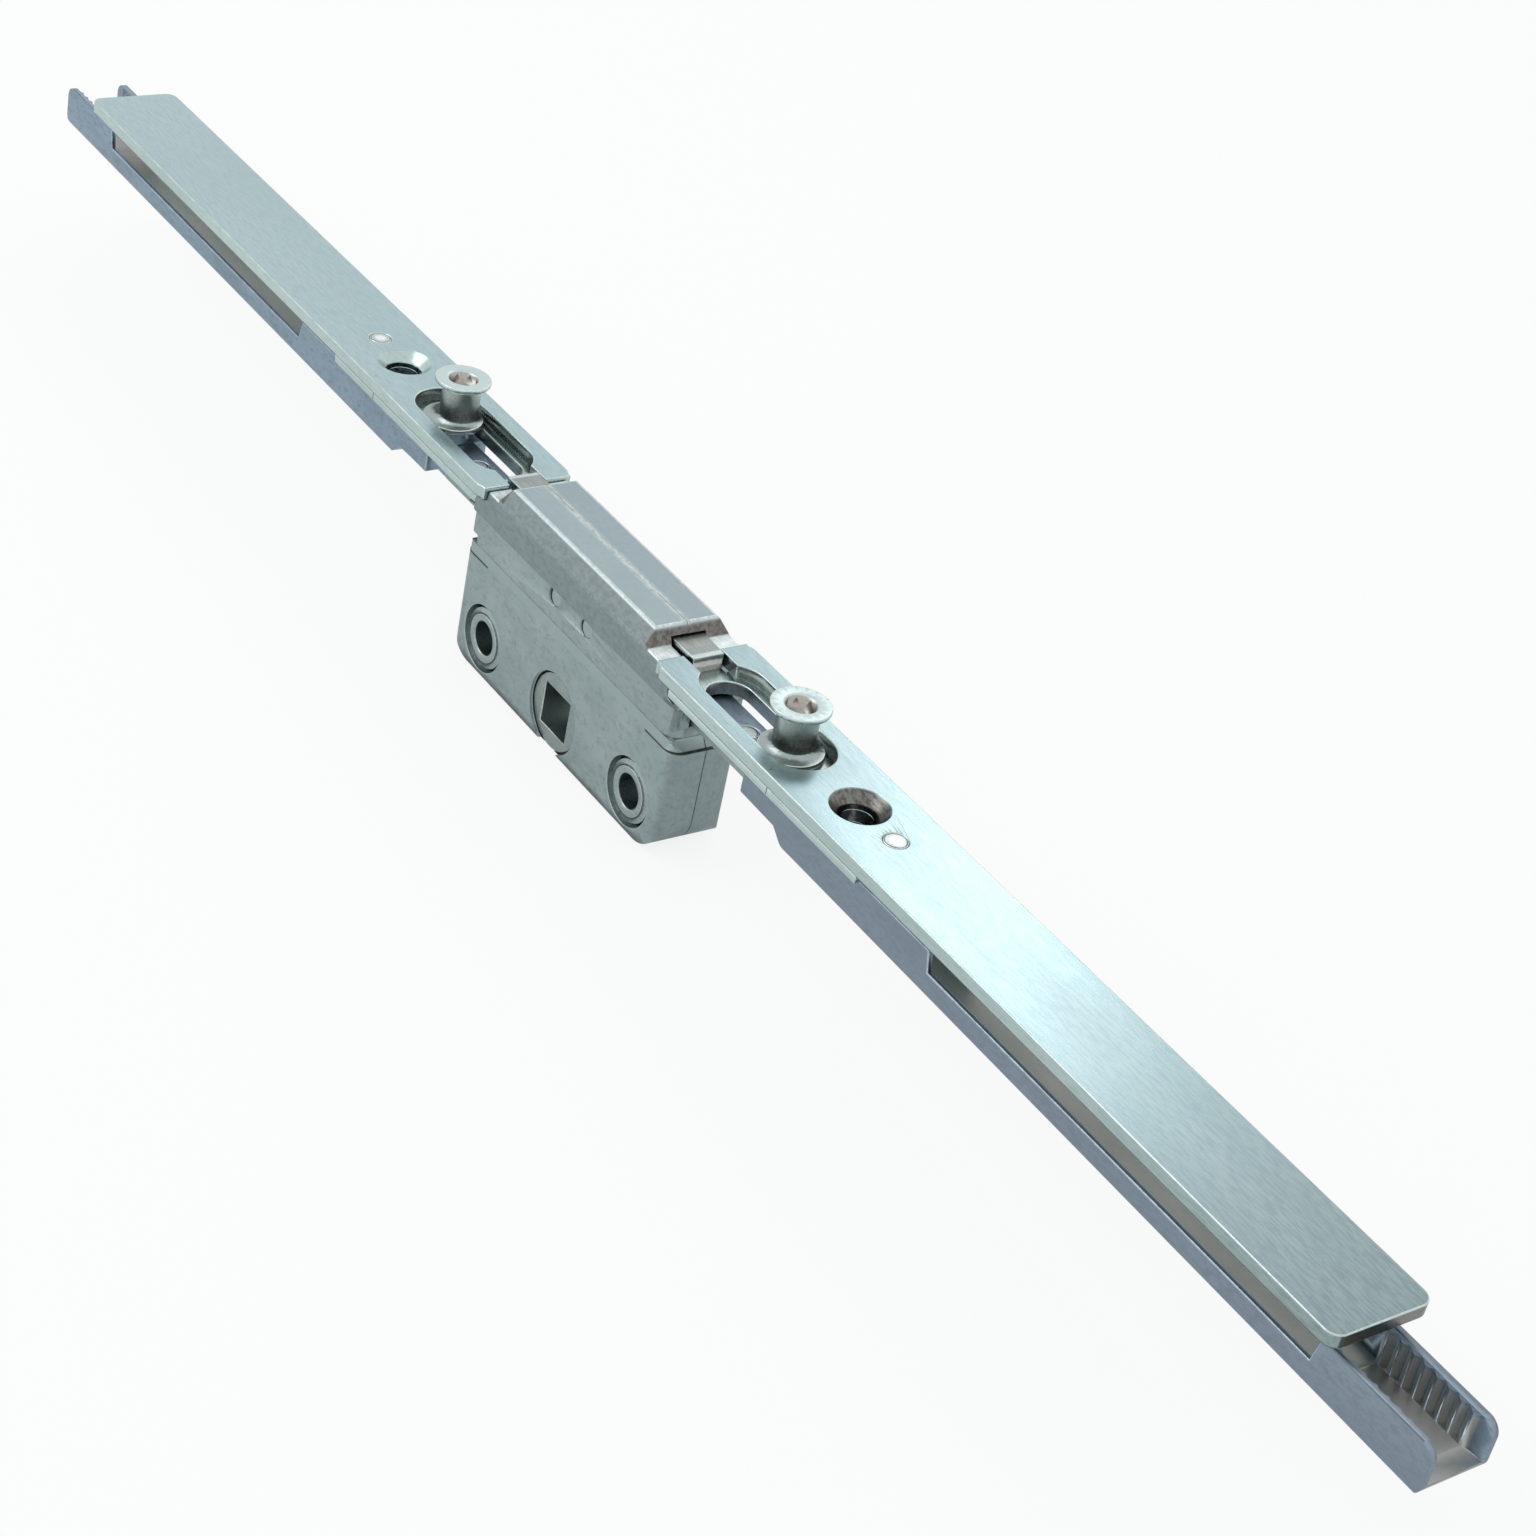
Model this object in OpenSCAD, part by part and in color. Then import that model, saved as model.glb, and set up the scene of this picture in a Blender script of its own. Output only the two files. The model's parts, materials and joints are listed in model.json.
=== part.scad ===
// Window espagnolette gearbox with two sliding arms.
// Millimetres. The origin is the centre of the spindle socket, halfway through the case.
// +X points to the right arm, -Y to the handle side, +Z to the faceplate.
// Shown with both slides at their outer limit.

/* [Spindle hub] */
// Width across the flats of the square spindle socket
spindle_square = 7; // [6:0.1:8]
// Radius of the hub journal in the case
hub_r = 6.1; // [5.9:0.05:6.3]
// Distance from the middle plane to each end face of the hub
hub_half_length = 5.5; // [4:0.1:5.6]
// Pitch radius of the toothed sector
sector_pitch_r = 9; // [8.9:0.05:9.1]
// Teeth that a full ring of the sector's pitch would hold
sector_ring_teeth = 18; // [18:1:18]
// Turn of the spindle from one limit to the other, in degrees
spindle_turn = 90; // [60:1:90]

/* [Idler gears and racks] */
// Distance from the middle of the case to each idler pin
idler_x = 4.5; // [4.45:0.01:4.55]
// Height of the idler pins over the spindle axis
idler_z = 17.7; // [17.6:0.05:17.8]
// Teeth on each idler
idler_teeth = 9; // [9:1:9]
// Radius of the idler pins
idler_pin_r = 1.6; // [1.3:0.05:1.8]
// Thickness of the gears and racks
gear_t = 4.4; // [3.6:0.1:4.6]
// Thickness of the part of each rack that climbs past the idlers
riser_w = 2.2; // [1.8:0.1:2.3]

/* [Case] */
// Half the length of the lower case
case_half_l = 30.2; // [29.6:0.1:31]
// Depth of the lower case from front to back
case_depth = 12; // [11.6:0.1:13]
// Distance from the spindle axis down to the bottom of the case
case_bottom = 6; // [5.9:0.05:6.1]
// Radius of the bottom corners of the case, seen from the front
case_corner_r = 5.5; // [3:0.1:6]
// Radius of the upright corners of the lower case
case_edge_r = 2.4; // [1:0.1:3]
// Height of the top of the lower case over the spindle axis
case_step_z = 11.8; // [11.4:0.1:12.2]
// Depth of the case just under the faceplates
ridge_base_depth = 14; // [13:0.1:15]
// Width of the flat on top of the ridge
ridge_top_w = 10.8; // [9:0.1:12]
// Height of the ridge over the faceplates
ridge_rise = 2.2; // [2.1:0.1:3]
// Half the length of the flat on top of the ridge
ridge_half_l = 20.1; // [19:0.1:21]
// Distance between the two handle screws
handle_pitch = 43; // [42.6:0.1:43.4]
// Radius of the hole in each handle bush
bush_bore_r = 2.6; // [2:0.1:3]
// Radius of the flanges of the handle bushes
bush_flange_r = 4.9; // [4.4:0.1:5.2]

/* [Faceplates and strips] */
// Height of the top of the faceplates over the spindle axis
backset = 25; // [24.9:0.05:25.1]
// Width of the faceplates
faceplate_w = 16; // [15.4:0.1:18]
// Thickness of the faceplates
faceplate_t = 2.1; // [2:0.05:2.2]
// Distance from the middle of the case to the inner end of each faceplate
faceplate_in = 24.7; // [24.6:0.05:24.9]
// Distance from the middle of the case to the outer end of each faceplate
faceplate_out = 168.7; // [160:0.1:172]
// Distance from the middle of the case to each faceplate screw
screw_x = 64.3; // [63:0.1:66]
// Radius of the hole for the faceplate screw
screw_hole_r = 2.3; // [1.8:0.05:2.6]
// Distance from the middle of the case to each faceplate rivet
rivet_x = 72.6; // [71.6:0.1:72.8]
// Thickness of the carrier strips
strip_t = 2.2; // [2:0.05:2.3]
// Width of the carrier strips
strip_w = 14; // [13:0.1:15]
// Distance from the middle of the case to the outer end of each strip
strip_out = 74.6; // [74.2:0.1:76]
// Width of the joggled tab that the case holds
tab_w = 5.24; // [4.6:0.02:5.4]

/* [Slides and cams] */
// Distance from the middle of the case to each cam
cam_x = 48; // [47.8:0.05:48.2]
// Radius of the cam's head
cam_head_r = 4.4; // [4:0.05:4.8]
// Radius of the cam's roller
cam_roller_r = 3.05; // [2.95:0.05:3.6]
// Radius of the cam's flange in the faceplate slot
cam_flange_r = 4.8; // [4.4:0.05:4.9]
// Height of the top of the cam over the faceplate
cam_stand = 5.5; // [5:0.1:7]
// Offset of the roller from the axis that the cam is adjusted about
cam_eccentric = 0.9; // [0.4:0.05:1]
// Width of the slide castings
slide_w = 10.6; // [10:0.1:11.4]
// Distance from the middle of the case to the outer end of each slide
slide_out = 184; // [178:0.5:190]
// Height of the slide castings under the strips
slide_h = 6.7; // [6.4:0.1:7.5]
// Thickness of the floor of the slide channels
slide_floor_t = 1.8; // [1.4:0.1:2.2]
// Pitch of the serrations in the ends of the slides
serration_pitch = 1.95; // [1.5:0.05:2.5]
// Height of each serration
serration_h = 0.7; // [0.5:0.05:0.8]

/* [Hidden] */
$fn = 96;

// Named clearances
fit_gap = 0.02;        // between pieces that are riveted or pressed together
run_gap = 0.05;        // round a shaft that turns in its bore, on the radius
slide_gap = 0.2;       // beside a piece that slides
rest_gap = 0.1;        // under a flange that rests on its track
tooth_gap = 0.08;      // taken off each gear flank
cut = 1;               // how far a cutting shape runs past the face it cuts

// Colours
casting_grey = [0.62, 0.66, 0.66];
steel_pale = [0.74, 0.80, 0.79];
steel_dark = [0.50, 0.53, 0.53];
zinc_blue = [0.60, 0.65, 0.68];
bright_steel = [0.78, 0.80, 0.80];

// Levels
faceplate_z = backset - faceplate_t;
strip_z = faceplate_z - strip_t;
bar_h = 4.2;
bar_top = strip_z - 0.5;
slide_bottom = bar_top - slide_h;
slide_floor = slide_bottom + slide_floor_t;
slide_end_top = bar_top + 0.6;
bar_bottom = bar_top - bar_h;
lap_z = (bar_top + bar_bottom) / 2;
ridge_z = backset + ridge_rise;
ledge_z = backset - 0.5;
tab_top = backset + 0.4;
tab_bottom = tab_top - strip_t;

// Travel and teeth
module_m = 2 * sector_pitch_r / sector_ring_teeth;
travel = sector_pitch_r * spindle_turn * PI / 180;
pitches_between_idlers = 4;
idler_pitch = 2 * idler_x / pitches_between_idlers;
idler_m = idler_pitch / PI;
idler_pitch_r = idler_teeth * idler_m / 2;
pressure_angle = 25;
stub_addendum = 0.8;
full_dedendum = 1;
lower_pitch_z = sector_pitch_r;
middle_pitch_z = idler_z - idler_pitch_r;
upper_pitch_z = idler_z + idler_pitch_r;
sector_tip_r = sector_pitch_r + stub_addendum * module_m;
idler_tip_r = idler_pitch_r + stub_addendum * idler_m;
sector_first_tooth = -1;
sector_last_tooth = 5;

// Racks
riser_in = idler_x + idler_tip_r + slide_gap + travel;
riser_out = riser_in + riser_w;
rack_overrun = 1.25;
rack_top = tab_bottom - slide_gap;
bar_w = 6;
lap_out = cam_x - 5;
slide_bar_in = cam_x - 19;
slide_rivet_x = cam_x - 9.5;
slide_rivet_r = 1.5;

// Case
case_y = case_depth / 2;
band_y = case_y - 0.1;
foot_half_l = case_half_l - 0.2;
neck_half_l = case_half_l - 1.3;
upper_half_l = case_half_l - 0.8;
neck_low = case_step_z + 1.9;
neck_high = case_step_z + 3.4;
base_low = idler_z + idler_pin_r - 0.4;
base_high = bar_top + slide_gap;
shoulder_x = faceplate_in + 2.9;
gear_pocket = gear_t / 2 + slide_gap;
bar_pocket = bar_w / 2 + slide_gap;
sector_pocket_r = sector_tip_r + 2 * slide_gap;
hub_recess_r = hub_r + 0.4;
bush_x = handle_pitch / 2;
bush_tube_r = bush_bore_r + 1.3;
bush_flange_t = 0.8;
bush_flange_y = case_y - 0.5;
bush_collar_h = 0.35;
bush_end = bush_flange_y + bush_collar_h;
bush_recess_r = bush_flange_r + 0.5;
idler_pin_end = band_y - 0.15;

// Strips
strip_in = shoulder_x + 0.1;
web_out = 26.5;
web_in = web_out - 1.5;
tab_in = 16.5;
tab_head_w = 8.4;
tab_head_l = 2;
strip_end_lean = 0.5;
track_r = 3.5;
track_over_in = 0.85;
track_over_out = 0.3;
track_in = cam_x - travel - track_over_in;
track_out = cam_x + track_over_out;
cam_slot_over_in = 0.55;
cam_slot_over_out = 2.1;
cam_slot_r = cam_flange_r + 0.25;
cam_slot_in = cam_x - travel - cam_slot_over_in;
cam_slot_out = cam_x + cam_slot_over_out;
notch_w = tab_w + 0.96;
faceplate_corner_r = 2;
countersink_r = screw_hole_r + faceplate_t;
rivet_head_r = 1.8;
rivet_shank_r = 1.1;

// Slides
tongue_in = cam_x - 2.5;
body_in = cam_x + 6;
body_full = body_in + 3;
channel_in = body_full + 1.5;
slide_wall_t = 0.9;
slide_end_r = 2;
slide_edge_r = 1;
window_in = 89;
window_out = 164.5;
window_lean = 0.8;
window_z = slide_floor + 1.8;
serration_in = 166.2;
serrations = floor((slide_out - 1.2 - serration_in) / serration_pitch);
screw_way_r = screw_hole_r + 0.6;

// Cams
cam_shank_r = track_r - 0.5;
cam_seat_r = 2.5;
cam_foot_r = 3.4;
cam_foot_t = 1;
cam_flange_t = 0.9;
cam_flange_z = faceplate_z + rest_gap;
cam_top = backset + cam_stand;
cam_head_t = 1.2;
cam_rim_t = 0.6;
cam_core_r = cam_roller_r - 0.45;
cam_key_flats = 4;
cam_key_depth = 2.2;
cam_key_lead = 0.5;
cam_set_left = -90;    // from the arm's outward way round to the way in which the head stands out, in degrees
cam_set_right = 135;

// A flat outline in X and Z, carried a width w to both sides of the middle plane
module across(w) rotate([90, 0, 0]) linear_extrude(w, center = true) children();

// A flat outline in Y and Z, carried from x0 to x1
module along(x0, x1)
    translate([x0, 0, 0]) rotate([90, 0, 90]) linear_extrude(x1 - x0) children();

// A block between two heights that is centred on y = 0
module block(x0, x1, w, z0, z1) translate([x0, -w / 2, z0]) cube([x1 - x0, w, z1 - z0]);

// A round bar along Y, centred on the middle plane
module cross_bar(x, z, r, l) translate([x, 0, z]) rotate([90, 0, 0]) cylinder(h = l, r = r, center = true);

// A flat rectangle with round corners
module round_rect(x0, x1, y0, y1, r) {
    translate([x0 + r, y0]) square([x1 - x0 - 2 * r, y1 - y0]);
    translate([x0, y0 + r]) square([x1 - x0, y1 - y0 - 2 * r]);
    for (x = [x0 + r, x1 - r], y = [y0 + r, y1 - r]) translate([x, y]) circle(r);
}

// A flat slot with round ends
module slot(x0, x1, r) {
    for (x = [x0, x1]) translate([x, 0]) circle(r);
    translate([x0, -r]) square([x1 - x0, 2 * r]);
}

// The left arm is the right arm turned half way round the Z axis
module arm(side) rotate([0, 0, side > 0 ? 0 : 180]) children();

// Involute tooth: half its angle, in degrees, at radius r
function involute(a) = tan(a) * 180 / PI - a;
function half_tooth_angle(pitch_r, teeth, r) =
    let (base_r = pitch_r * cos(pressure_angle), a = r > base_r ? acos(base_r / r) : 0)
    90 / teeth - tooth_gap / pitch_r * 180 / PI + involute(pressure_angle) - involute(a);

// Points of one gear tooth centred on the angle at, from root to tip and back
flank_steps = 4;
function tooth_points(pitch_r, teeth, m, at) =
    let (base_r = pitch_r * cos(pressure_angle),
         root_r = pitch_r - full_dedendum * m - 0.3,
         low_r = max(base_r, pitch_r - full_dedendum * m),
         tip_r = pitch_r + stub_addendum * m,
         radii = [for (i = [0 : flank_steps]) low_r + (tip_r - low_r) * i / flank_steps],
         up = [for (r = radii) [r, at - half_tooth_angle(pitch_r, teeth, r)]],
         down = [for (i = [flank_steps : -1 : 0]) [radii[i], at + half_tooth_angle(pitch_r, teeth, radii[i])]],
         foot = half_tooth_angle(pitch_r, teeth, low_r))
    [for (p = concat([[root_r, at - foot]], up, down, [[root_r, at + foot]])) p[0] * [cos(p[1]), sin(p[1])]];

// One straight rack tooth centred on x, pointing up (way = 1) or down (way = -1) from its pitch line at z
module rack_tooth(x, z, m, way) {
    half = PI * m / 4 - tooth_gap;
    lean = tan(pressure_angle);
    root = full_dedendum * m;
    tip = stub_addendum * m;
    polygon([[x - half - lean * root, z - way * (root + 0.2)], [x - half - lean * root, z - way * root],
             [x - half + lean * tip, z + way * tip], [x + half - lean * tip, z + way * tip],
             [x + half + lean * root, z - way * root], [x + half + lean * root, z - way * (root + 0.2)]]);
}

// Front outline of the lower case
module lower_outline() {
    round_rect(-case_half_l, case_half_l, -case_bottom, case_step_z - case_corner_r, case_corner_r);
    translate([-case_half_l, 0]) square([2 * case_half_l, case_step_z]);
}

// Front outline of the upper case: neck, shoulders, ledges and ridge
module upper_outline() {
    half = [[foot_half_l, case_step_z], [neck_half_l, case_step_z + 1.4], [neck_half_l, neck_high],
            [upper_half_l, neck_high + 0.6], [upper_half_l, base_high], [shoulder_x, strip_z - rest_gap],
            [shoulder_x, faceplate_z - fit_gap], [faceplate_in - 0.1, faceplate_z - fit_gap],
            [faceplate_in - 0.1, ledge_z], [ridge_half_l + 1.4, ledge_z], [ridge_half_l, ridge_z]];
    polygon(concat(half, [for (i = [len(half) - 1 : -1 : 0]) [-half[i][0], half[i][1]]]));
}

// Side outline of the upper case
module upper_section() {
    base = ridge_base_depth / 2;
    half = [[case_y, case_step_z], [band_y - 0.3, case_step_z + 1.4], [band_y, neck_low],
            [band_y, base_low], [base, base_low + 0.8], [base, ledge_z],
            [ridge_top_w / 2, ridge_z]];
    polygon(concat(half, [for (i = [len(half) - 1 : -1 : 0]) [-half[i][0], half[i][1]]]));
}

// The whole outside of the case
module case_blank() {
    intersection() {
        across(case_depth) lower_outline();
        translate([0, 0, -case_bottom - cut]) linear_extrude(case_bottom + case_step_z + 2 * cut)
            round_rect(-case_half_l, case_half_l, -case_y, case_y, case_edge_r);
    }
    intersection() {
        across(ridge_base_depth) upper_outline();
        along(-case_half_l, case_half_l) upper_section();
        union() {
            upright(case_step_z - cut, neck_low, foot_half_l, case_y, case_edge_r);
            upright(neck_low, neck_high, neck_half_l, band_y, case_edge_r);
            upright(neck_high, base_low, upper_half_l, band_y, case_edge_r / 2);
            upright(base_low, base_high, upper_half_l, ridge_base_depth / 2, case_edge_r);
            block(-case_half_l, case_half_l, ridge_base_depth, base_high, ridge_z + cut);
        }
    }
}

// A stretch of the upper case between two heights, with round upright corners
module upright(z0, z1, half_l, half_w, r)
    translate([0, 0, z0]) linear_extrude(z1 - z0) round_rect(-half_l, half_l, -half_w, half_w, r);

// Everything that is cut out of the case for what it holds
module case_pockets() {
    plate_top = middle_pitch_z + stub_addendum * idler_m + slide_gap;
    plate_bottom = lower_pitch_z - stub_addendum * module_m - slide_gap;
    plate_end = idler_x + rack_overrun + idler_pitch + travel;
    upper_low = upper_pitch_z - stub_addendum * idler_m - slide_gap;
    bar_low = bar_bottom - slide_gap;
    across(2 * gear_pocket) intersection() {
        circle(sector_pocket_r);
        translate([-sector_pocket_r, 1 - case_bottom]) square([2 * sector_pocket_r, 2 * sector_pocket_r]);
    }
    for (s = [-1, 1]) cross_bar(s * idler_x, idler_z, idler_tip_r + slide_gap, 2 * gear_pocket);
    block(-riser_out - slide_gap, plate_end, 2 * gear_pocket, plate_bottom, plate_top);
    block(-riser_out - slide_gap, travel - riser_in, 2 * gear_pocket, plate_bottom, bar_top + slide_gap);
    block(-plate_end, riser_out + slide_gap, 2 * gear_pocket, upper_low, tab_bottom);
    block(riser_in - travel - slide_gap, riser_out + slide_gap, 2 * gear_pocket, bar_low, tab_bottom);
    for (s = [-1, 1]) arm(s) {
        block(riser_out - travel - slide_gap, upper_half_l + cut, 2 * bar_pocket, bar_low, base_high);
        block(shoulder_x, upper_half_l + cut, 2 * bar_pocket, bar_low, strip_z);
        tab(fit_gap, slide_gap);
    }
    cross_bar(0, 0, hub_r + run_gap, case_depth + 2 * cut);
    for (s = [-1, 1]) {
        cross_bar(s * bush_x, 0, bush_tube_r + fit_gap, case_depth + 2 * cut);
        cross_bar(s * idler_x, idler_z, idler_pin_r + fit_gap, case_depth + 2 * cut);
    }
    for (f = [-1, 1]) {
        recess(0, hub_recess_r, hub_half_length, f);
        for (s = [-1, 1]) recess(s * bush_x, bush_recess_r, bush_flange_y - bush_flange_t - fit_gap, f);
    }
}

// A round recess in the front (f = -1) or rear (f = 1) face, down to depth y
module recess(x, r, y, f) {
    l = case_y - y + cut;
    translate([x, f * (y + l / 2), 0]) rotate([90, 0, 0]) cylinder(h = l, r = r, center = true);
}

// The joggled tab of a right strip, grown by g all round and by run at its upper side when it is cut away
module tab(g, run) {
    block(tab_in - g, web_out, tab_w + 2 * g, tab_bottom - g, tab_top + g);
    block(tab_in - g, tab_in + tab_head_l + g, tab_head_w + 2 * g, tab_bottom - g, tab_top + g);
    block(web_in - g, strip_in + (run > 0 ? cut : 0), tab_w + 2 * g, strip_z - (run > 0 ? cut : 0), faceplate_z);
    block(web_in - g, web_out, tab_w + 2 * g, strip_z - g, tab_top + run);
    if (run > 0) block(ridge_half_l, web_out, tab_w + 2 * slide_gap, tab_bottom - g, tab_top + run);
}

module case_half(f) {
    color(casting_grey) difference() {
        intersection() {
            case_blank();
            translate([-2 * case_half_l, f > 0 ? 0 : -ridge_base_depth, -2 * case_half_l])
                cube([4 * case_half_l, ridge_base_depth, 4 * case_half_l]);
        }
        case_pockets();
    }
}

module case_front() case_half(-1);

module case_rear() case_half(1);

// Flanged tube with a low collar at each end, drawn as a profile turned round its axis
module bush(side) {
    chamfer = 0.3;
    low = bush_flange_y - bush_flange_t;
    half = [[bush_tube_r, low], [bush_flange_r, low], [bush_flange_r, bush_flange_y],
            [bush_tube_r, bush_flange_y], [bush_tube_r, bush_end], [bush_bore_r + chamfer, bush_end],
            [bush_bore_r, bush_end - chamfer]];
    color(steel_dark) translate([side * bush_x, 0, 0]) rotate([90, 0, 0]) rotate_extrude()
        polygon(concat(half, [for (i = [len(half) - 1 : -1 : 0]) [half[i][0], -half[i][1]]]));
}

module idler_pin(side) color(steel_dark) cross_bar(side * idler_x, idler_z, idler_pin_r, 2 * idler_pin_end);

module spindle_hub() {
    step = 360 / sector_ring_teeth;
    body_r = sector_pitch_r - full_dedendum * module_m;
    half = half_tooth_angle(sector_pitch_r, sector_ring_teeth, body_r);
    first = 90 + sector_first_tooth * step - half;
    last = 90 + sector_last_tooth * step + half;
    color(steel_dark) difference() {
        union() {
            cross_bar(0, 0, hub_r, 2 * hub_half_length);
            across(gear_t) {
                intersection() {
                    circle(body_r);
                    polygon(concat([[0, 0]],
                        [for (i = [0 : 8]) 2 * body_r * [cos(first + (last - first) * i / 8),
                                                         sin(first + (last - first) * i / 8)]]));
                }
                for (i = [sector_first_tooth : sector_last_tooth])
                    polygon(tooth_points(sector_pitch_r, sector_ring_teeth, module_m, 90 + step * i));
            }
        }
        cube([spindle_square, 2 * hub_half_length + 2 * cut, spindle_square], center = true);
    }
}

// The left rack's upper teeth stand on the right idler's centre line, so its lowest gap points straight down
module idler(side) {
    step = 360 / idler_teeth;
    color(bright_steel) difference() {
        translate([side * idler_x, 0, idler_z]) across(gear_t) {
            circle(idler_pitch_r - full_dedendum * idler_m);
            for (i = [0 : idler_teeth - 1])
                polygon(tooth_points(idler_pitch_r, idler_teeth, idler_m, 270 + step * (i + 0.5)));
        }
        cross_bar(side * idler_x, idler_z, idler_pin_r + run_gap, gear_t + 2 * cut);
    }
}

// Plate, riser and lapped tail of the left rack; the plate lies between the hub and the idlers
module rack_left() {
    plate_right = idler_x + rack_overrun;
    root_low = lower_pitch_z + full_dedendum * module_m;
    root_high = middle_pitch_z - full_dedendum * idler_m;
    low_last = floor((plate_right + 1) / (PI * module_m) - 0.5);
    low_first = -ceil((riser_in - 3) / (PI * module_m) - 0.5);
    high_count = round((idler_x + travel + rack_overrun) / idler_pitch);
    color(steel_dark) difference() {
        union() {
            across(gear_t) {
                translate([-riser_out, root_low])
                    square([riser_out + plate_right + 1, root_high - root_low]);
                translate([-riser_out, root_low]) square([riser_w, lap_z - fit_gap - root_low]);
                for (i = [low_first : low_last])
                    rack_tooth(PI * module_m * (i + 0.5), lower_pitch_z, module_m, -1);
                for (i = [-high_count - 2 : 0])
                    rack_tooth(idler_x + idler_pitch * i, middle_pitch_z, idler_m, 1);
            }
            block(-lap_out, -riser_out + fit_gap, bar_w, bar_bottom, lap_z - fit_gap);
        }
        translate([-slide_rivet_x, 0, bar_bottom - cut])
            cylinder(h = bar_top - bar_bottom + 2 * cut, r = slide_rivet_r + fit_gap);
    }
}

// Plate, riser and lapped tail of the right rack; the plate lies over the idlers
module rack_right() {
    plate_left = -idler_x - rack_overrun;
    root = upper_pitch_z + full_dedendum * idler_m;
    count = round((idler_x + travel + rack_overrun) / idler_pitch);
    color(steel_dark) difference() {
        union() {
            across(gear_t) {
                translate([plate_left, root]) square([riser_out - plate_left, rack_top - root]);
                translate([riser_in, bar_bottom]) square([riser_w, rack_top - bar_bottom]);
                for (i = [-pitches_between_idlers : count - pitches_between_idlers + 3])
                    rack_tooth(idler_x + idler_pitch * (i + 0.5), upper_pitch_z, idler_m, -1);
            }
            block(riser_out - fit_gap, lap_out, bar_w, bar_bottom, lap_z - fit_gap);
        }
        translate([slide_rivet_x, 0, bar_bottom - cut])
            cylinder(h = bar_top - bar_bottom + 2 * cut, r = slide_rivet_r + fit_gap);
    }
}

module strip(side) {
    color(steel_pale) arm(side) difference() {
        union() {
            across(strip_w) polygon([[strip_in, strip_z], [strip_out - strip_end_lean, strip_z],
                [strip_out, faceplate_z], [strip_in, faceplate_z]]);
            tab(0, 0);
        }
        translate([0, 0, strip_z - cut]) linear_extrude(strip_t + 2 * cut) slot(track_in, track_out, track_r);
        translate([screw_x, 0, strip_z - cut]) cylinder(h = strip_t + 2 * cut, r = screw_hole_r);
        translate([rivet_x, 0, strip_z - cut]) cylinder(h = strip_t + 2 * cut, r = rivet_shank_r + fit_gap);
    }
}

module faceplate(side) {
    color(steel_pale) arm(side) translate([0, 0, faceplate_z]) difference() {
        linear_extrude(faceplate_t) difference() {
            union() {
                round_rect(faceplate_in, faceplate_out, -faceplate_w / 2, faceplate_w / 2, faceplate_corner_r);
                translate([faceplate_in, -faceplate_w / 2 + 0.4])
                    square([2 * faceplate_corner_r, faceplate_w - 0.8]);
            }
            slot(cam_slot_in, cam_slot_out, cam_slot_r);
            translate([faceplate_in - cut, -notch_w / 2]) square([cam_slot_in - faceplate_in + cut, notch_w]);
        }
        translate([screw_x, 0, -cut]) cylinder(h = faceplate_t + 2 * cut, r = screw_hole_r);
        translate([screw_x, 0, 0]) cylinder(h = faceplate_t, r1 = screw_hole_r, r2 = countersink_r);
        translate([rivet_x, 0, -cut]) cylinder(h = faceplate_t + 2 * cut, r = rivet_head_r + fit_gap);
    }
}

module faceplate_rivet(side) {
    color(bright_steel) arm(side) translate([rivet_x, 0, 0]) {
        translate([0, 0, faceplate_z]) cylinder(h = faceplate_t, r = rivet_head_r);
        translate([0, 0, strip_z]) cylinder(h = strip_t + fit_gap, r = rivet_shank_r);
    }
}

// Side outline of a slide: bar, tongue, lean to the full height and the open channel with its window
module slide_outline() {
    difference() {
        union() {
            polygon([[slide_bar_in, lap_z], [lap_out + fit_gap, lap_z], [lap_out + fit_gap, bar_bottom],
                     [body_in, bar_bottom], [body_full, slide_bottom], [slide_out - slide_end_r, slide_bottom],
                     [slide_out - slide_end_r, bar_top], [slide_bar_in, bar_top]]);
            round_rect(window_in, slide_out, slide_bottom, slide_end_top, slide_end_r);
            translate([window_in, slide_bottom]) square([3 * slide_end_r, slide_floor_t]);
        }
        polygon([[window_in, bar_top], [window_in + window_lean, window_z], [window_out, window_z],
                 [window_out + window_lean, slide_end_top + cut], [window_in, slide_end_top + cut]]);
    }
}

// End outline of a slide, with its two lower edges rounded
module slide_section() {
    half = slide_w / 2;
    for (s = [-1, 1]) translate([s * (half - slide_edge_r), slide_bottom + slide_edge_r]) circle(slide_edge_r);
    translate([-half, slide_bottom + slide_edge_r]) square([slide_w, backset - slide_bottom]);
    translate([-half + slide_edge_r, slide_bottom]) square([slide_w - 2 * slide_edge_r, 2 * slide_edge_r]);
}

// Plan of the channel inside a slide, narrowed by the serrations at its outer end
module channel_plan() {
    half = slide_w / 2 - slide_wall_t;
    translate([channel_in, -half]) square([slide_out + cut - channel_in, 2 * half]);
}

module serration_plan(s) {
    wall = slide_w / 2 - slide_wall_t;
    x1 = serration_in + serrations * serration_pitch;
    teeth = [for (i = [0 : serrations - 1], p = [0, 1])
        [serration_in + (i + 0.5 * p) * serration_pitch, s * (wall - p * serration_h)]];
    polygon(concat([[serration_in, s * (wall + 0.3)]], teeth, [[x1, s * wall], [x1, s * (wall + 0.3)]]));
}

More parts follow.
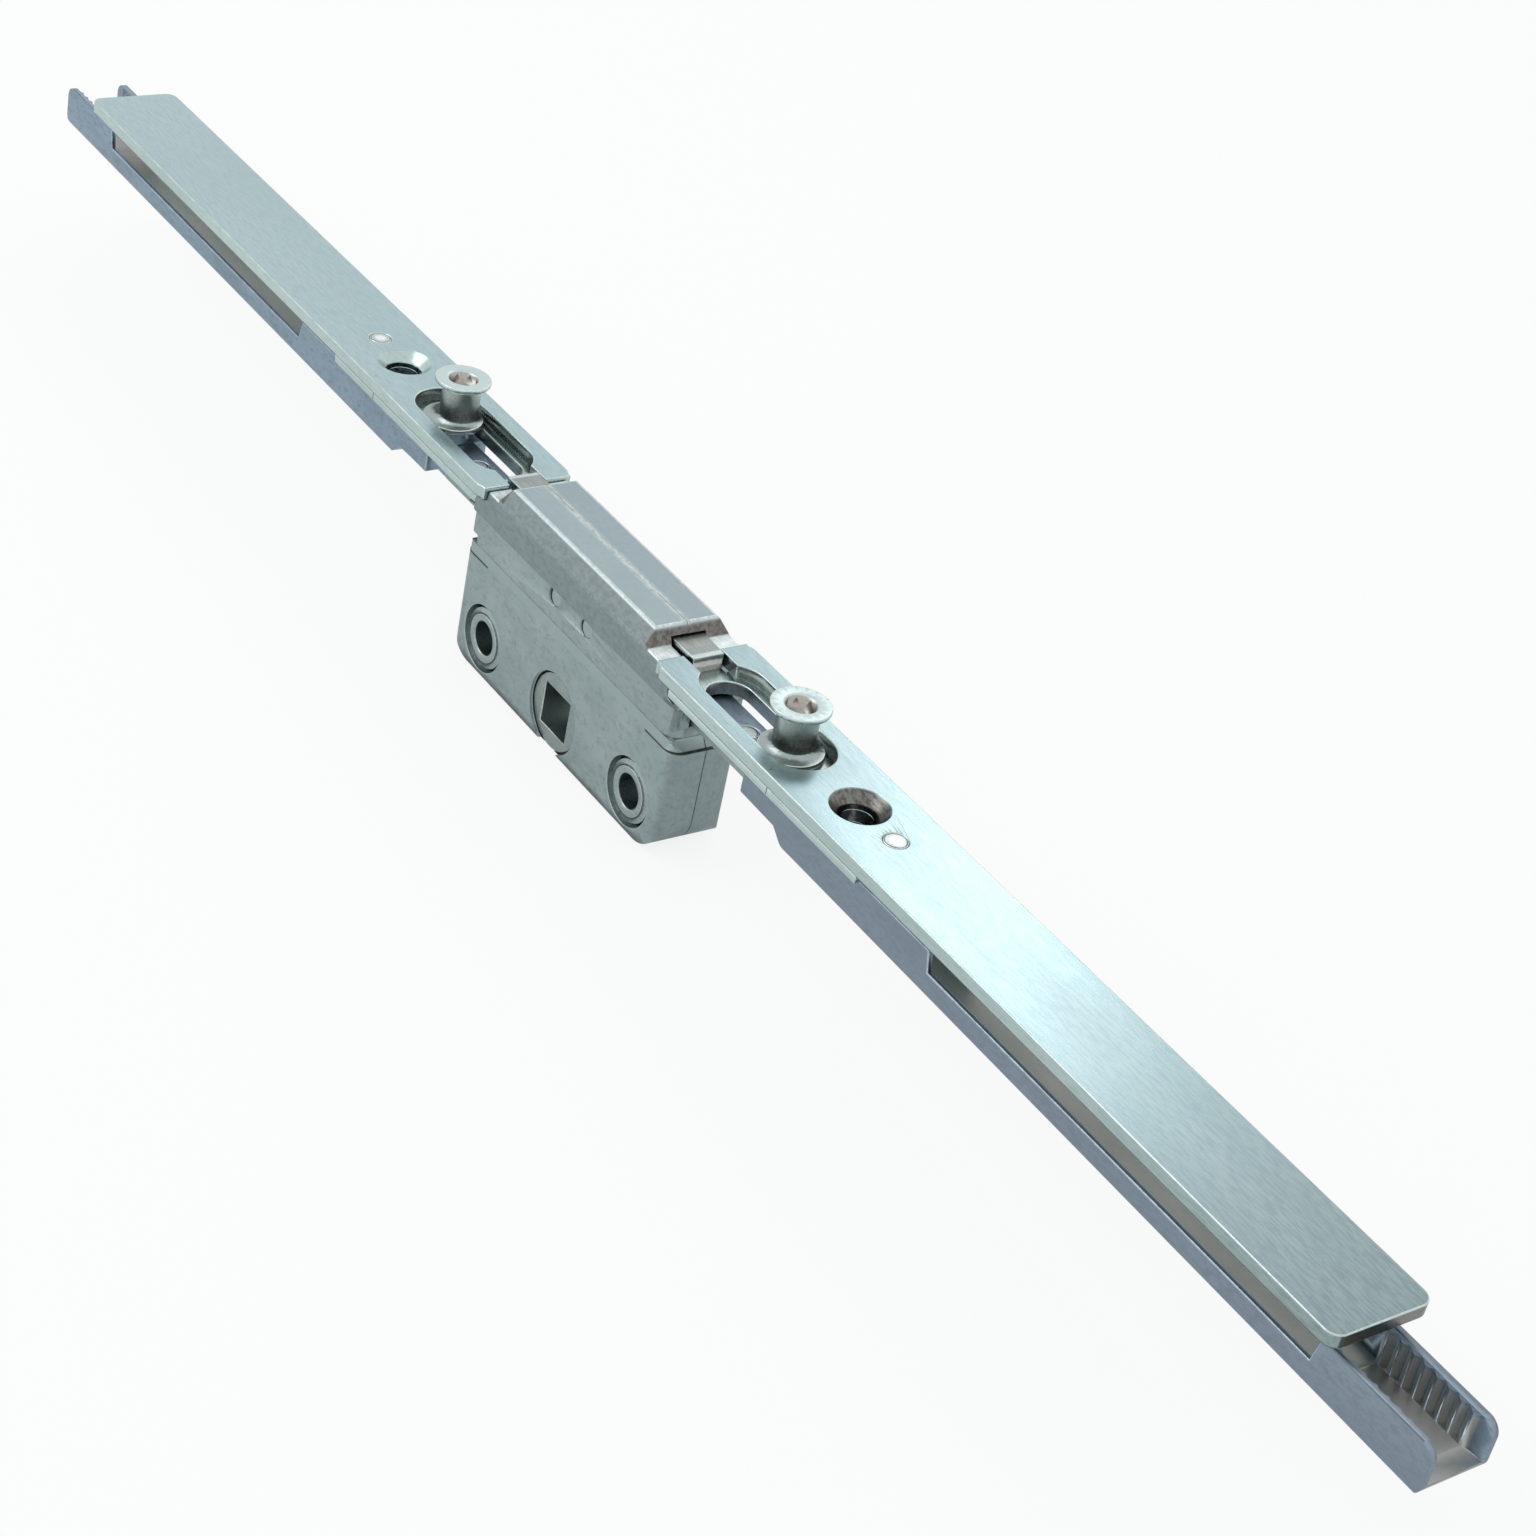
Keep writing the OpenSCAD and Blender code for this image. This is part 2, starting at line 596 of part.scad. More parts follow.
module slide(side) {
    color(zinc_blue) arm(side) difference() {
        union() {
            difference() {
                intersection() {
                    across(slide_w) slide_outline();
                    along(slide_bar_in - cut, slide_out + cut) slide_section();
                }
                translate([0, 0, slide_floor]) linear_extrude(backset) channel_plan();
            }
            for (s = [-1, 1]) translate([0, 0, slide_floor - fit_gap])
                linear_extrude(slide_end_top - slide_floor - 0.3) serration_plan(s);
        }
        for (s = [-1, 1]) translate([slide_bar_in - cut, s > 0 ? bar_w / 2 : -slide_w, bar_bottom - cut])
            cube([tongue_in - slide_bar_in + cut, slide_w - bar_w / 2, slide_h]);
        translate([0, 0, slide_bottom - cut]) linear_extrude(slide_floor_t + 2 * cut)
            slot(screw_x, screw_x + travel, screw_way_r);
        translate([cam_x, 0, bar_bottom - cut]) cylinder(h = slide_h, r = cam_seat_r + run_gap);
        translate([cam_x, 0, bar_bottom - cut]) cylinder(h = cam_foot_t + cut + run_gap, r = cam_foot_r + run_gap);
        translate([slide_rivet_x, 0, bar_bottom - cut]) cylinder(h = slide_h, r = slide_rivet_r + fit_gap);
    }
}

module slide_rivet(side) {
    color(bright_steel) arm(side) translate([slide_rivet_x, 0, bar_bottom])
        cylinder(h = bar_top - bar_bottom, r = slide_rivet_r);
}

// Moves to a cam's axis, with the X axis turned to the way in which its head stands out
module at_cam(side)
    arm(side) translate([cam_x, 0, 0]) rotate([0, 0, side > 0 ? cam_set_right : cam_set_left]) children();

// Eccentric stud: foot, seat, shank and flange turn on one axis, the core, the head and its key recess on another
module cam_stud(side) {
    color(bright_steel) at_cam(side) difference() {
        union() {
            translate([0, 0, bar_bottom]) cylinder(h = cam_foot_t, r = cam_foot_r);
            translate([0, 0, bar_bottom]) cylinder(h = cam_flange_z - bar_bottom, r = cam_seat_r);
            translate([0, 0, bar_top + rest_gap]) cylinder(h = cam_flange_z - bar_top, r = cam_shank_r);
            translate([0, 0, cam_flange_z]) cylinder(h = cam_flange_t, r = cam_flange_r);
            translate([cam_eccentric, 0, cam_flange_z])
                cylinder(h = cam_top - cam_flange_z, r = cam_core_r - run_gap);
            translate([cam_eccentric, 0, cam_top - cam_head_t])
                cylinder(h = cam_head_t - cam_rim_t, r1 = cam_roller_r + 0.1, r2 = cam_head_r);
            translate([cam_eccentric, 0, cam_top - cam_rim_t]) cylinder(h = cam_rim_t, r = cam_head_r);
        }
        translate([cam_eccentric, 0, cam_top - cam_key_depth])
            cylinder(h = cam_key_depth + cut, r = cam_key_flats / sqrt(3), $fn = 6);
        translate([cam_eccentric, 0, cam_top - cam_key_lead])
            cylinder(h = cam_key_lead + cut, r1 = cam_key_flats / 2,
                     r2 = cam_key_flats / 2 + 1.2 * (cam_key_lead + cut));
    }
}

module cam_roller(side) {
    low = cam_flange_z + cam_flange_t + rest_gap;
    high = cam_top - cam_head_t - rest_gap;
    color(steel_dark) at_cam(side) translate([cam_eccentric, 0, low]) difference() {
        cylinder(h = high - low, r = cam_roller_r);
        translate([0, 0, -cut]) cylinder(h = high - low + 2 * cut, r = cam_core_r);
    }
}

case_front();
case_rear();
bush(-1);  // bush_left
bush(1);  // bush_right
idler_pin(-1);  // idler_pin_left
idler_pin(1);  // idler_pin_right
strip(-1);  // strip_left
strip(1);  // strip_right
faceplate(-1);  // faceplate_left
faceplate(1);  // faceplate_right
faceplate_rivet(-1);  // faceplate_rivet_left
faceplate_rivet(1);  // faceplate_rivet_right
spindle_hub();
idler(-1);  // idler_left
idler(1);  // idler_right
rack_left();
rack_right();
slide(-1);  // slide_left
slide(1);  // slide_right
slide_rivet(-1);  // slide_rivet_left
slide_rivet(1);  // slide_rivet_right
cam_stud(-1);  // cam_stud_left
cam_stud(1);  // cam_stud_right
cam_roller(-1);  // cam_roller_left
cam_roller(1);  // cam_roller_right
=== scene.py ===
import json
import math
from collections import Counter

import bmesh
import bpy
import numpy as np
from mathutils import Matrix, Vector
from mathutils.bvhtree import BVHTree
from mathutils.geometry import delaunay_2d_cdt

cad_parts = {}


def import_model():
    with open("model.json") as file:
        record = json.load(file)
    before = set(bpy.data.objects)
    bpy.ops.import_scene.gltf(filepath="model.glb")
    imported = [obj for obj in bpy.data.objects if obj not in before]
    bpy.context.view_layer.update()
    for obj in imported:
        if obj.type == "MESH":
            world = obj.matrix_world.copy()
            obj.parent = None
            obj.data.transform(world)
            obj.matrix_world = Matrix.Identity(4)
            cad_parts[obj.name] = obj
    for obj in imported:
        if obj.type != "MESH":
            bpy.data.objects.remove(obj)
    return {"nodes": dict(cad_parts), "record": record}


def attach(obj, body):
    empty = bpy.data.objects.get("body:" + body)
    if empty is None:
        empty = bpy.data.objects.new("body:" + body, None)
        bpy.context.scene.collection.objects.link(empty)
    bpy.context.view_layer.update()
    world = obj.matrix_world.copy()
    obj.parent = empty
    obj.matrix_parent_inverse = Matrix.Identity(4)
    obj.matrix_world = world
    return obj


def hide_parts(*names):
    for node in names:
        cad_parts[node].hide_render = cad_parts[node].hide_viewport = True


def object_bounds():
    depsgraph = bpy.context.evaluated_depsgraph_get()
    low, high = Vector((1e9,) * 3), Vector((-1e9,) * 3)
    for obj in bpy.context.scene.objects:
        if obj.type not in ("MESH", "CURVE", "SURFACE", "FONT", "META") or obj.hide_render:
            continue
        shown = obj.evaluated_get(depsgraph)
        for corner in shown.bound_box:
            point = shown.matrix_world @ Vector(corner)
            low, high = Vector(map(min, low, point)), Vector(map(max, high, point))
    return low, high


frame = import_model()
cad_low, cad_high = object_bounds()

MM = 0.001
record = frame["record"]
slot_of = {part["node"]: part["material_slot"] for part in record["subparts"]}
body_of = {node: body for body, nodes in record["behaviour"]["bodies"].items() for node in nodes}


# Nodes and colours

def srgb(hex_colour):
    """Turns an sRGB hex colour to linear, which is c / 12.92 up to 0.04045, and ((c + 0.055) / 1.055) to the power
    of 2.4 above it."""
    c = np.array([int(hex_colour[i:i + 2], 16) for i in (1, 3, 5)]) / 255
    linear = np.where(c <= 0.04045, c / 12.92, ((c + 0.055) / 1.055) ** 2.4)
    return (*linear.tolist(), 1.0)


def add(tree, kind, settings=None, links=None):
    """Adds one node. Settings are its properties or the values of its inputs, and links join its inputs."""
    node = tree.nodes.new(kind)
    for key, value in (settings or {}).items():
        if isinstance(key, str) and key not in node.inputs:
            setattr(node, key, value)
        else:
            node.inputs[key].default_value = value
    for key, source in (links or {}).items():
        tree.links.new(source, node.inputs[key])
    return node


# Places on the part, each 1 inside and 0 outside, with limits in millimetres

def span(tree, source, low, high, soft):
    """Rises from 0 to 1 at the low limit and falls back at the high one, each over twice soft millimetres."""
    up = add(tree, "ShaderNodeMapRange", {"From Min": (low - soft) * MM, "From Max": (low + soft) * MM},
             {"Value": source}).outputs[0]
    down = add(tree, "ShaderNodeMapRange", {"From Min": (high - soft) * MM, "From Max": (high + soft) * MM,
                                            "To Min": 1.0, "To Max": 0.0}, {"Value": source}).outputs[0]
    return add(tree, "ShaderNodeMath", {"operation": "MULTIPLY"}, {0: up, 1: down}).outputs[0]


def block(tree, place, soft=0.05, **limits):
    """Inside a block. ax and ay are the distances from the middle along the arms and across them, and x, y and z
    are the coordinates themselves."""
    axes = dict(zip("xyz", add(tree, "ShaderNodeSeparateXYZ", {}, {0: place}).outputs))
    inside = None
    for name, (low, high) in limits.items():
        source = axes[name[-1]]
        if name[0] == "a":
            source = add(tree, "ShaderNodeMath", {"operation": "ABSOLUTE"}, {0: source}).outputs[0]
        part = span(tree, source, low, high, soft)
        inside = part if inside is None else add(tree, "ShaderNodeMath", {"operation": "MULTIPLY"},
                                                 {0: inside, 1: part}).outputs[0]
    return inside


def ring(tree, place, centre, low, high, soft=0.05, across="y", fold=True):
    """Between two distances from a line through centre that runs along the across axis. Where fold holds, the
    ring is the same on both arms."""
    folded = add(tree, "ShaderNodeVectorMath", {"operation": "ABSOLUTE"}, {0: place}).outputs[0]
    x = add(tree, "ShaderNodeSeparateXYZ", {}, {0: folded if fold else place}).outputs[0]
    _, y, z = add(tree, "ShaderNodeSeparateXYZ", {}, {0: place}).outputs
    flat = add(tree, "ShaderNodeCombineXYZ", {}, {0: x, 1: y if across == "z" else z}).outputs[0]
    at = add(tree, "ShaderNodeVectorMath", {"operation": "DISTANCE", 1: (centre[0] * MM, centre[1] * MM, 0)},
             {0: flat}).outputs["Value"]
    return span(tree, at, low, high, soft)


# Metals

# The noise values between which each effect grows from none to full
CLOUDED = (0.36, 0.66)
FLECKED = (0.5, 0.8)
UNBROKEN = (0.42, 0.6)
GLOSSED = (0.3, 0.7)


def metal(name, tones, cloud_mm, grain_mm, roughness, relief_mm, marks=(), stretch=1):
    """A bare or plated metal. tones are its own colour, that of its soft clouds, cloud_mm across, and that of its
    flecks, grain_mm across. The clouds also vary its gloss, and the flecks give its relief. Both are drawn stretch
    times longer along the arms. Each mark is a colour, the share of it that shows, its depth in millimetres, how
    far the flecks break it up, and its place: block or ring, with the values that it takes."""
    material = bpy.data.materials.new(name)
    material.use_nodes = True
    tree = material.node_tree
    tree.nodes.clear()
    place = add(tree, "ShaderNodeTexCoord").outputs["Object"]
    drawn = add(tree, "ShaderNodeMapping", {"Scale": (1 / stretch, 1, 1)}, {"Vector": place}).outputs[0]
    clouds = add(tree, "ShaderNodeTexNoise", {"Scale": 1 / (cloud_mm * MM), "Detail": 5, "Roughness": 0.6},
                 {"Vector": drawn}).outputs[0]
    grain = add(tree, "ShaderNodeTexNoise", {"Scale": 1 / (grain_mm * MM), "Detail": 3, "Roughness": 0.65},
                {"Vector": drawn}).outputs[0]
    cloudy = add(tree, "ShaderNodeMapRange", {"From Min": CLOUDED[0], "From Max": CLOUDED[1]},
                 {"Value": clouds}).outputs[0]
    flecked = add(tree, "ShaderNodeMapRange", {"From Min": FLECKED[0], "From Max": FLECKED[1]},
                  {"Value": grain}).outputs[0]
    colour = add(tree, "ShaderNodeMix", {"data_type": "RGBA", 6: srgb(tones[0]), 7: srgb(tones[1])},
                 {0: cloudy}).outputs[2]
    colour = add(tree, "ShaderNodeMix", {"data_type": "RGBA", 7: srgb(tones[2])},
                 {0: flecked, 6: colour}).outputs[2]
    height = add(tree, "ShaderNodeMath", {"operation": "MULTIPLY", 1: relief_mm}, {0: grain}).outputs[0]
    for tone, share, depth_mm, broken, form, values in marks:
        inside = form(tree, place, **values)
        kept = add(tree, "ShaderNodeMapRange", {"From Min": UNBROKEN[0], "From Max": UNBROKEN[1],
                                                "To Min": share * (1 - broken), "To Max": share},
                   {"Value": grain}).outputs[0]
        shown = add(tree, "ShaderNodeMath", {"operation": "MULTIPLY"}, {0: inside, 1: kept}).outputs[0]
        colour = add(tree, "ShaderNodeMix", {"data_type": "RGBA", 7: srgb(tone)}, {0: shown, 6: colour}).outputs[2]
        height = add(tree, "ShaderNodeMath", {"operation": "MULTIPLY_ADD", 1: -depth_mm},
                     {0: inside, 2: height}).outputs[0]
    gloss = add(tree, "ShaderNodeMapRange", {"From Min": GLOSSED[0], "From Max": GLOSSED[1],
                                             "To Min": roughness[0], "To Max": roughness[1]},
                {"Value": clouds}).outputs[0]
    bump = add(tree, "ShaderNodeBump", {"Strength": 1.0, "Distance": MM}, {"Height": height}).outputs[0]
    shader = add(tree, "ShaderNodeBsdfPrincipled", {"Metallic": 1.0},
                 {"Base Color": colour, "Roughness": gloss, "Normal": bump})
    add(tree, "ShaderNodeOutputMaterial", {}, {"Surface": shader.outputs[0]})
    return material


# Marks on the case, with painted light and shade among them
case_marks_and_painted_light = [
    # Painted shade makes the flanks of the ridge and the band under them duller than the front, and painted light
    # makes the top of the ridge lighter and bluish; the rear half of the top is bluer and darker
    ("#808A8C", 0.85, 0.0, 0.3, block, dict(soft=0.15, ay=(5.45, 9), z=(24.6, 26.9))),
    ("#828D90", 0.8, 0.0, 0.3, block, dict(soft=0.15, ay=(5.95, 9), z=(18.9, 24.6))),
    ("#A0B3BA", 0.7, 0.0, 0.75, block, dict(soft=0.1, z=(27.1, 28))),
    ("#93A2AB", 0.8, 0.0, 0.4, block, dict(soft=0.3, y=(0.3, 6), z=(27.1, 28))),
    # The end faces are duller, and the rounded bottom is darker as painted shade
    ("#8B999B", 0.8, 0.0, 0.3, block, dict(soft=0.4, ax=(29.2, 32), z=(-5, 30))),
    ("#6B7578", 0.85, 0.0, 0.2, block, dict(soft=0.5, z=(-9, -5.2))),
    # The foot of the neck is painted paler, a painted highlight on its upward flare, with a fine painted shadow
    # line over it and another one under the base of the ridge
    ("#A8B6B5", 0.7, 0.0, 0.3, block, dict(soft=0.1, z=(12.0, 13.55))),
    ("#5E6869", 0.75, 0.0, 0.3, block, dict(soft=0.05, z=(13.62, 13.78))),
    ("#5E6869", 0.75, 0.0, 0.3, block, dict(soft=0.05, z=(18.8, 18.98))),
    # A brownish band of painted shade runs down the rounded upright corners
    ("#84817F", 0.7, 0.0, 0.5, block, dict(soft=0.6, ax=(28.6, 29.6), ay=(4.2, 5.4), z=(-3, 12))),
    # The ledges beside the ridge are painted pale, a painted highlight on their upward faces
    ("#E4ECEC", 1.0, 0.0, 0.35, block, dict(ax=(21.3, 24.8), z=(24.3, 24.75))),
    # The two ends of the ridge are as cast, and dark brown
    ("#6A625C", 1.0, 0.0, 0.3, block, dict(soft=0.15, ax=(20.3, 21.7), z=(24.7, 27.05))),
    # Open joint between the lower case and the neck, near the two ends
    ("#2C3133", 0.95, 0.2, 0.1, block, dict(soft=0.05, ax=(23, 31), z=(11.68, 11.92))),
    # Painted shade darkens the gap round the hub, and more softly the recess wall round each bush
    ("#15171F", 1.0, 0.0, 0.0, ring, dict(centre=(0, 0), low=6.12, high=6.46)),
    ("#3C4344", 0.9, 0.0, 0.2, ring, dict(centre=(21.5, 0), low=4.85, high=5.38)),
    # The seam is a fine dark line on the ends and below, and worn pale along the ridge
    ("#4B5355", 0.85, 0.0, 0.2, block, dict(soft=0.04, ay=(-1, 0.1), z=(-7, 24))),
    ("#DEE3DC", 0.85, 0.0, 0.85, block, dict(soft=0.35, ay=(-1, 0.55), z=(27.0, 28))),
    ("#6F7A7D", 0.8, 0.0, 0.4, block, dict(soft=0.04, ay=(-1, 0.08), ax=(12, 21), z=(26, 28))),
]
# The long edges of the ridge are painted pale, a painted highlight
ridge_edge_highlight = ("#E2ECEC", 0.75, 0.0, 0.6, block, dict(soft=0.1, ay=(0.6, 9), z=(26.98, 28)))
# Tumbled zinc die casting: a soft cloudy grey skin with shallow pits, only a little brighter where it is rubbed
case_zinc = metal("tumbled_zinc_casting", ("#9BA9AA", "#AAB7B8", "#899697"), cloud_mm=6, grain_mm=0.8,
                  roughness=(0.4, 0.52), relief_mm=0.012, marks=case_marks_and_painted_light, stretch=1.6)
# The rounded edges of the case are rubbed a little brighter, and along the ridge they carry the painted highlight
case_rubbed_and_painted_highlight = metal("rubbed_zinc_edge_painted_highlight", ("#A2AFB0", "#B6C2C3", "#919E9F"), cloud_mm=3, grain_mm=0.6,
                    roughness=(0.32, 0.42), relief_mm=0.008, marks=[*case_marks_and_painted_light, ridge_edge_highlight])
slide_marks = [
    # The inside of the channels is dull and brownish
    ("#B4B1A8", 0.85, 0.0, 0.2, block, dict(ax=(58, 185), ay=(-1, 4.3), z=(13, 20))),
    # The right casting is greyer than the left one
    ("#868F99", 0.7, 0.0, 0.3, block, dict(soft=0.1, x=(30, 200), ay=(4.5, 9))),
]
# Zinc die casting as cast: bluish, with a fine even grain
slide_zinc = metal("cast_zinc_slide", ("#8799A8", "#9AABBA", "#76838F"), cloud_mm=7, grain_mm=0.5,
                   roughness=(0.4, 0.52), relief_mm=0.015, marks=slide_marks, stretch=2.5)
slide_rubbed = metal("rubbed_slide_edge", ("#98A6B2", "#B2BECA", "#87939E"), cloud_mm=3, grain_mm=0.5,
                     roughness=(0.32, 0.42), relief_mm=0.008)
strip_marks_and_painted_light = [
    # Painted reflection makes the tops of the faceplates bluer than their sides, and dimmer towards the right end
    ("#9DB8BF", 0.85, 0.0, 0.35, block, dict(ax=(24, 170), z=(24.85, 26))),
    ("#7F8C90", 0.85, 0.0, 0.3, block, dict(soft=26, x=(146, 500))),
    # Sawn outer ends, and the sheared walls of the slots, are brown
    ("#7C746D", 0.9, 0.0, 0.2, block, dict(ax=(168.55, 170), z=(22, 26))),
    ("#918985", 0.9, 0.0, 0.3, block, dict(ax=(28, 56), ay=(-1, 5.08), z=(22.97, 24.75))),
    ("#918985", 0.9, 0.0, 0.3, block, dict(ax=(28, 56), ay=(-1, 3.53), z=(20.75, 22.8))),
    # The right countersink is brown
    ("#554B45", 0.95, 0.0, 0.2, ring, dict(centre=(64.3, 0), low=2, high=4.3, soft=0.1, across="z", fold=False)),
    # A joint in each strip
    ("#3E4749", 0.9, 0.0, 0.1, block, dict(soft=0.05, x=(52.9, 53.1), y=(-7.2, -6.8))),
    ("#3E4749", 0.9, 0.0, 0.1, block, dict(soft=0.05, x=(-61.1, -60.9), y=(-7.2, -6.8))),
    # The tabs are smooth and brownish, and painted pale where they bend down, a painted highlight
    ("#8F8E8A", 0.8, 0.0, 0.2, block, dict(soft=0.1, ax=(16, 25.6), ay=(-1, 2.7), z=(24.6, 26))),
    ("#D3D6D2", 0.8, 0.0, 0.2, block, dict(soft=0.2, ax=(25.7, 26.5), ay=(-1, 2.7), z=(24.9, 26))),
    ("#A29E98", 0.8, 0.0, 0.3, block, dict(soft=0.2, ax=(26.0, 27), ay=(-1, 2.7), z=(22, 24.8))),
]
# Painted shadow: a dark line where the faceplate lies on the strip
lap_shadow_line = ("#39413F", 0.92, 0.0, 0.1, block, dict(soft=0.05, ay=(6.9, 8.2), z=(22.35, 23.12)))
# Zinc plated cold rolled steel: pale green-grey with rolling streaks along the strip and cloudy plating
plated_strip = metal("plated_rolled_steel", ("#B2C4C2", "#C4D3D1", "#A1B4B2"), cloud_mm=9, grain_mm=0.5,
                     roughness=(0.22, 0.3), relief_mm=0.004, marks=[*strip_marks_and_painted_light, lap_shadow_line], stretch=6)
plated_rubbed = metal("rubbed_strip_edge", ("#B6C6C5", "#D0DDDC", "#A6B7B6"), cloud_mm=3, grain_mm=0.5,
                      roughness=(0.22, 0.32), relief_mm=0.004, marks=[lap_shadow_line])
# The ends of the idler pins look like the case, with a painted shadow crescent at their left
pin_tone_and_shadows = [
    ("#98A6A8", 0.9, 0.0, 0.3, ring, dict(centre=(4.5, 17.7), low=-1, high=1.7)),
    ("#23292B", 0.98, 0.0, 0.0, ring, dict(centre=(4.95, 17.7), low=1.5, high=2.5, fold=False)),
    ("#23292B", 0.98, 0.0, 0.0, ring, dict(centre=(-4.05, 17.7), low=1.45, high=2.5, fold=False)),
]
turned_marks_and_painted_light = [
    # The bushes are greyer, with a painted shade line at the foot of the collar, and a dull bore
    ("#919D9E", 0.85, 0.0, 0.3, ring, dict(centre=(21.5, 0), low=-1, high=5)),
    ("#3F484A", 0.8, 0.0, 0.2, ring, dict(centre=(21.5, 0), low=3.86, high=4.05)),
    ("#8D9597", 0.85, 0.0, 0.7, ring, dict(centre=(21.5, 0), low=-1, high=2.63)),
    *pin_tone_and_shadows,
    # Painted shade: the slide rivets have a dark crescent towards the rear
    ("#3F484A", 0.9, 0.0, 0.0, ring, dict(centre=(38.5, -0.35), low=1.4, high=2.5, across="z")),
    # The faceplate rivets have a painted shade rim and a painted highlight in the middle
    ("#3C4446", 0.9, 0.0, 0.1, ring, dict(centre=(72.6, 0), low=1.5, high=2, across="z")),
    ("#F2F8F8", 0.9, 0.0, 0.2, ring, dict(centre=(72.6, 0), low=-1, high=0.9, soft=0.2, across="z")),
    # The heads of the cams are painted bright, as lit from above, and the key recesses brown
    ("#C6D8D8", 0.85, 0.0, 0.2, block, dict(ax=(40, 56), z=(29.9, 31))),
    ("#A89E98", 0.9, 0.0, 0.3, ring, dict(centre=(47.364, 0.636), low=-1, high=2.35, across="z", fold=False)),
    ("#A89E98", 0.9, 0.0, 0.3, ring, dict(centre=(-48, 0.9), low=-1, high=2.35, across="z", fold=False)),
    # The rollers are brown-grey and darken with painted shade towards the foot, and the flanges are grey
    ("#A5A39D", 0.85, 0.0, 0.4, block, dict(soft=0.1, ax=(40, 56), z=(24.15, 29.3))),
    ("#5E6061", 0.85, 0.0, 0.4, block, dict(soft=0.9, ax=(40, 56), z=(24.3, 25.8))),
    ("#98A4A4", 0.85, 0.0, 0.3, block, dict(ax=(40, 56), z=(22.9, 23.98))),
]
# The edges of the bushes are greyer too
bush_edges = ("#A3AFB0", 0.85, 0.0, 0.3, ring, dict(centre=(21.5, 0), low=-1, high=5))
# Turned and plated steel: smooth, a little brighter than the strip
turned_steel = metal("turned_steel", ("#B6C1C0", "#C8D2D1", "#A2ADAC"), cloud_mm=4, grain_mm=0.35,
                     roughness=(0.26, 0.36), relief_mm=0.004, marks=turned_marks_and_painted_light)
turned_rubbed = metal("rubbed_turned_edge", ("#C6D1D0", "#DAE4E3", "#B0BDBC"), cloud_mm=3, grain_mm=0.5,
                      roughness=(0.22, 0.32), relief_mm=0.003, marks=[bush_edges, *pin_tone_and_shadows])
# The spindle socket is painted dark inside, a painted shade, and its edges darker still
socket_wall_shade = ("#737F7E", 1.0, 0.0, 0.2, block, dict(soft=0.03, ax=(-1, 3.55), z=(-3.55, 3.55)))
socket_edge_shade = ("#4A5453", 1.0, 0.0, 0.2, block, dict(soft=0.05, ax=(-1, 3.7), ay=(-1, 5.3), z=(-3.7, 3.7)))
# Sintered steel: matt and finely porous
sintered_steel = metal("sintered_steel", ("#96A19F", "#A5B0AE", "#7C8785"), cloud_mm=3, grain_mm=0.3,
                       roughness=(0.42, 0.54), relief_mm=0.012, marks=[socket_wall_shade])
sintered_rubbed = metal("rubbed_sintered_edge", ("#B9C4C2", "#CFDAD8", "#A5B0AE"), cloud_mm=3, grain_mm=0.4,
                        roughness=(0.32, 0.42), relief_mm=0.006, marks=[socket_edge_shade])

finishes = {
    "cast_zinc_case": (case_zinc, case_rubbed_and_painted_highlight),
    "cast_zinc_slide": (slide_zinc, slide_rubbed),
    "plated_steel": (plated_strip, plated_rubbed),
    "turned_steel": (turned_steel, turned_rubbed),
    "sintered_steel": (sintered_steel, sintered_rubbed),
}


# Pieces from the frame

EDGE_ROUND_MM = {"cast_zinc_case": 0.45, "cast_zinc_slide": 0.25, "plated_steel": 0.2, "turned_steel": 0.15,
                 "sintered_steel": 0.12}
SEAM_ROUND_MM = 0.1              # along the plane where the two halves of the case meet
THREE_STEPS_MM = 0.3             # pieces with larger rounds than this make them in three steps, the others in two
ROOM_SHARE = 0.28                # the most that one round may take of a face's width; two rounds may share a face
LEAST_ROUND_MM = 0.02            # edges with room for less stay sharp
SHARP = math.radians(25)         # edges that turn less than this stay as they are
STRAIGHT = math.radians(35)      # edges in a row that turn less than this at a corner get one width
FLAT = math.radians(1)           # faces that turn less than this are joined
SAME_PLANE = 0.99999             # least cosine between the normals of touching faces in one plane
WELD = 2e-7                      # corners closer together than this are one, in metres
SLIVER = 5e-6                    # the same for the corners of the rounds
PROBES = (0.08, 0.5, 0.92)       # where along an edge the depth of its flat areas is taken
WAY_COUNT = 96                   # lines tried from an edge that may be in sight
WAY_START_MM = 0.03              # how far over the edge they start
GRAZING = 0.05                   # least cosine between such a line and the normal of a face at the edge
SEEN_SHARE = 0.5                 # share of a run's edges that has to be in sight


def flat_areas(shape):
    """Groups the faces without a round that lie in one plane and touch each other. A dict keeps them in order, so
    that each run cuts them alike."""
    left = dict.fromkeys(face for face in shape.faces if face.material_index == 0)
    while left:
        area, waiting = [], [left.popitem()[0]]
        while waiting:
            face = waiting.pop()
            area.append(face)
            for edge in face.edges:
                for other in edge.link_faces:
                    if other in left and other.normal.dot(face.normal) > SAME_PLANE:
                        del left[other]
                        waiting.append(other)
        yield area


def outline_of(area):
    """The edges of a flat area that have just one of their faces in it."""
    inside = set(area)
    return [edge for face in area for edge in face.edges if sum(f in inside for f in edge.link_faces) == 1]


whole = bmesh.new()
for node_object in frame["nodes"].values():
    whole.from_mesh(node_object.data)
whole_tree = BVHTree.FromBMesh(whole)
whole.free()
